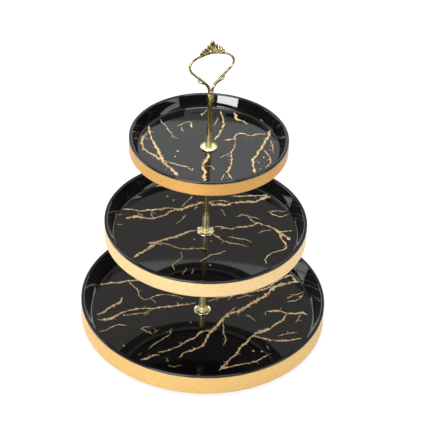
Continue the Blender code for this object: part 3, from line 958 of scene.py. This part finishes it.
class CAKESTAND_OT_handle(bpy.types.Operator):
    """Cast the open loop handle with its crown of petals"""

    bl_idname = "cakestand.handle"
    bl_label = "Crown Handle"

    def execute(self, context):
        metal = context.scene.cake_stand_metal
        settings = context.scene.cake_stand_handle
        foot = box_of("crown_handle")[1]
        wide = settings.loop_half_width / MM
        high = settings.loop_height / MM
        middle = high - 0.5
        tall = settings.crown_height / MM + 0.5
        # (x, share of the loop's height, radius)
        arm = (
            (1.4, 0.09, 1.5), (2.3, 0.19, 1.45), (5.9, 0.307, 1.4), (10.6, 0.412, 1.35), (16.4, 0.53, 1.25),
            (wide - 1.1, 0.646, 1.15), (wide, 0.752, 1.2), (wide - 2.2, 0.848, 1.1), (15.4, 0.921, 1.05),
            (10.8, 0.954, 1.2), (5.5, 0.988, 1.35), (0, 1, 1.4),
        )
        curl = ((4.6, 0.27, 1), (7.6, 0.303, 0.8), (10.8, 0.331, 0.66), (13.2, 0.372, 0.6), (12.9, 0.412, 0.55))
        parts = []
        drops = [
            (0, middle + 0.46 * tall, 2, 0.48 * tall, 1.5),
            (0, middle + 0.88 * tall, 1.35, 0.12 * tall, 1.1, 0, 0.7),
        ]
        for side in (-1, 1):
            for points in (arm, curl):
                parts.append(cast_bar([(side * x, share * high, r) for x, share, r in points], foot))
            parts.append(cast_drop(foot, side * 12.7, 0.41 * high, 1.25, 1.25, 1.1, waist=0.7))
        for side in (-1, 1):
            # the middle petal's saw-toothed edge
            for rise, out in ((0.34, 2.5), (0.5, 2.35), (0.65, 1.9), (0.78, 1.35)):
                drops.append((side * out, middle + rise * tall, 0.85, 1.45, 1, side * 38, 0.7))
            for i in range(1, settings.side_petals + 1):
                share = i / settings.side_petals
                half = tall * (0.33 + 0.46 * (1 - share) ** 1.05) * 0.5
                lean = 5 + 21 * share
                x = side * (0.5 + 9.7 * share) + side * half * math.sin(math.radians(lean))
                z = middle - 1.9 * share**2 + half * math.cos(math.radians(lean))
                drops.append((x, z, 1.4, half * 1.15, 1.4, side * lean))
        parts += [cast_drop(foot, *drop) for drop in drops]
        corners = (
            (0, 0, 0, 0), (2.6, 0, 0.2, 2), (2.9, 0.85, 0.6, 4), (2.6, 1.7, 0.2, 2), (2.2, 2.2, 0.3, 3),
            (2.5, 5.2, 0.9, 4), (0, 5.6, 0, 0),
        )
        boss = turn("boss", corners, 48, z=foot)
        select_only(boss, *parts)
        bpy.ops.object.join()
        boss.name = boss.data.name = "crown_handle_cast"
        apply_modifier(boss, "casting", "REMESH", mode="VOXEL", voxel_size=settings.cast_cell)
        fettling = {"smooth_type": "SIMPLE", "factor": 0.5, "iterations": 5, "use_only_smooth": True}
        apply_modifier(boss, "fettling", "CORRECTIVE_SMOOTH", **fettling)
        settle(boss)
        bpy.ops.object.shade_smooth()
        # painted shade: the handle takes the darkened gilt and the dark painted-shade patches
        material = gilt_material("handle_gilt", metal.handle_shaded_gilt, metal.gilt_roughness * 0.9, wash=0.75)
        dress(boss, material, "upper_stem", "gold_plate", "crown_handle")
        return {"FINISHED"}


def area_light(name, place, aim, size, power, shape="RECTANGLE", tint=(1, 1, 1)):
    light = bpy.data.lights.new(name, "AREA")
    light.shape = shape
    light.size, light.size_y = size
    light.energy = power
    light.color = tint
    lamp = bpy.data.objects.new(name, light)
    lamp.location = place
    lamp.rotation_euler = (aim - place).to_track_quat("-Z", "Y").to_euler()
    lamp.visible_camera = False
    bpy.context.scene.collection.objects.link(lamp)


class CAKESTAND_OT_stage(bpy.types.Operator):
    """Set the pale floor, the soft studio lights and the camera"""

    bl_idname = "cakestand.stage"
    bl_label = "Stage"

    def execute(self, context):
        settings = context.scene.cake_stand_stage
        select_only()
        bpy.ops.mesh.primitive_grid_add(x_subdivisions=2, y_subdivisions=2, size=12, location=(0, 0, 0))
        floor = context.object
        floor.name = "studio_floor"
        material, tree, shader = new_material("studio_floor")
        place = object_place(tree)
        seen = tree.nodes.new("ShaderNodeLightPath").outputs["Is Camera Ray"]
        far = tree.nodes.new("ShaderNodeVectorMath")
        far.operation = "LENGTH"
        tree.links.new(place, far.inputs[0])
        edge = ramp_between(tree, far.outputs["Value"], 0.3, 0.9)
        shade = settings.floor_color
        paper = mix_color(tree, noise(tree, place, 3), [c * 0.985 for c in shade], shade)
        # only the table near the stand is bright in its reflections
        table = mix_color(tree, edge, paper, (0.05, 0.05, 0.05))
        color = mix_color(tree, seen, table, [c * 0.4 for c in shade])
        glow = mix_color(tree, seen, (0, 0, 0), (0.74, 0.74, 0.74))
        feed(tree, shader, Base_Color=color, Roughness=0.9, Specular_IOR_Level=0.0)
        feed(tree, shader, Emission_Color=glow, Emission_Strength=1.0)
        floor.data.materials.append(material)
        self.set_world(context)
        self.set_lights(settings.light_power)
        self.set_camera(context, settings.lens)
        return {"FINISHED"}

    def set_world(self, context):
        """A white ground to the camera, and a dim studio with a paler ceiling in the reflections."""
        world = bpy.data.worlds.new("studio")
        world.use_nodes = True
        tree = world.node_tree
        sky = tree.nodes["Background"]
        toward = tree.nodes.new("ShaderNodeTexCoord").outputs["Generated"]
        apart = tree.nodes.new("ShaderNodeSeparateXYZ")
        tree.links.new(toward, apart.inputs[0])
        ceiling = ramp_between(tree, apart.outputs[2], 0.1, 0.6)
        seen = tree.nodes.new("ShaderNodeLightPath").outputs["Is Camera Ray"]
        drapes = mix_color(tree, noise(tree, toward, 2.6, 2), (0.32, 0.31, 0.30), (0.66, 0.64, 0.60))
        room = mix_color(tree, ceiling, (0.055, 0.05, 0.045), drapes)
        feed(tree, sky, Color=mix_color(tree, seen, room, (1, 1, 1)))
        context.scene.world = world
        context.scene.view_settings.view_transform = "Standard"

    def set_lights(self, share):
        """Cards round the stand: angle to the viewer's right, distance, lowest and highest edge, width, glow, tint."""
        cards = (
            ("left_low", -25, 1.1, 0.22, 0.43, 0.60, 18),
            ("left_high", -25, 1.2, 0.60, 0.88, 0.66, 9),
            ("left_side", -98, 1.1, 0.02, 0.50, 0.6, 5.5, (1, 0.99, 0.98)),
            ("right_low", 64, 1.1, 0.12, 0.43, 0.66, 2.6, (0.95, 0.98, 1)),
            ("right_high", 64, 1.2, 0.60, 0.90, 0.7, 3.2),
            ("rear_left", -148, 1.3, 0.12, 0.42, 0.8, 5),
            ("rear_right", 148, 1.3, 0.12, 0.42, 0.8, 5),
            ("rear_card", 180, 0.30, 0.386, 0.9, 0.66, 0.81, (0.93, 0.99, 1)),
        )
        for name, angle, away, low, high, width, glow, *tint in cards:
            turned = math.radians(angle) + VIEW_TURN
            place = Vector((math.sin(turned) * away, -math.cos(turned) * away, (low + high) / 2))
            size = (width, high - low)
            aim = Vector((0, 0, place.z if away < 0.5 else 0.2))
            shape = "ELLIPSE" if name == "rear_card" else "RECTANGLE"
            spread = size[0] * size[1] * (math.pi / 4 if shape == "ELLIPSE" else 1)
            area_light(name, place, aim, size, glow * math.pi * spread * share, shape, *tint)
        area_light("overhead", Vector((0, 0, 1.9)), Vector(), (1, 1), 19 * share)

    def set_camera(self, context, lens):
        """The viewer looks down on the stand from in front and a little to its left, with the head tipped slightly."""
        rise = math.radians(36.70)
        tip = math.radians(2.42)
        far = 1.80
        aim = Vector((0.00901, 0, 0.13366))
        camera = bpy.data.objects.new("camera", bpy.data.cameras.new("camera"))
        camera.data.lens = lens
        camera.matrix_world = (
            Matrix.Rotation(VIEW_TURN, 4, "Z")
            @ Matrix.Translation(aim)
            @ Matrix.Rotation(math.pi / 2 - rise, 4, "X")
            @ Matrix.Rotation(tip, 4, "Z")
            @ Matrix.Translation((0, 0, far))
        )
        context.scene.collection.objects.link(camera)
        context.scene.camera = camera


# ---- panel and registration

OPERATORS = (
    CAKESTAND_OT_plates, CAKESTAND_OT_veins, CAKESTAND_OT_washers, CAKESTAND_OT_gaskets, CAKESTAND_OT_rods,
    CAKESTAND_OT_fasteners, CAKESTAND_OT_handle, CAKESTAND_OT_stage,
)
SETTINGS = (
    ("cake_stand_plates", CakeStandPlateSettings),
    ("cake_stand_metal", CakeStandMetalSettings),
    ("cake_stand_handle", CakeStandHandleSettings),
    ("cake_stand_stage", CakeStandStageSettings),
)


class CAKESTAND_PT_panel(bpy.types.Panel):
    """Lists the settings and pieces of the cake stand"""

    bl_label = "Tiered Cake Stand"
    bl_idname = "CAKESTAND_PT_panel"
    bl_space_type = "VIEW_3D"
    bl_region_type = "UI"
    bl_category = "Cake Stand"

    def draw(self, context):
        for name, group in SETTINGS:
            box = self.layout.box()
            for prop in group.__annotations__:
                box.prop(getattr(context.scene, name), prop)
        for operator in OPERATORS:
            self.layout.operator(operator.bl_idname)


def register():
    for name, group in SETTINGS:
        bpy.utils.register_class(group)
        setattr(bpy.types.Scene, name, PointerProperty(type=group))
    for operator in OPERATORS:
        bpy.utils.register_class(operator)
    bpy.utils.register_class(CAKESTAND_PT_panel)


def unregister():
    bpy.utils.unregister_class(CAKESTAND_PT_panel)
    for operator in reversed(OPERATORS):
        bpy.utils.unregister_class(operator)
    for name, group in reversed(SETTINGS):
        delattr(bpy.types.Scene, name)
        bpy.utils.unregister_class(group)


def main():
    register()
    for step in ("plates", "veins", "washers", "gaskets", "rods", "fasteners", "handle", "stage"):
        getattr(bpy.ops.cakestand, step)()


if __name__ == "__main__":
    main()
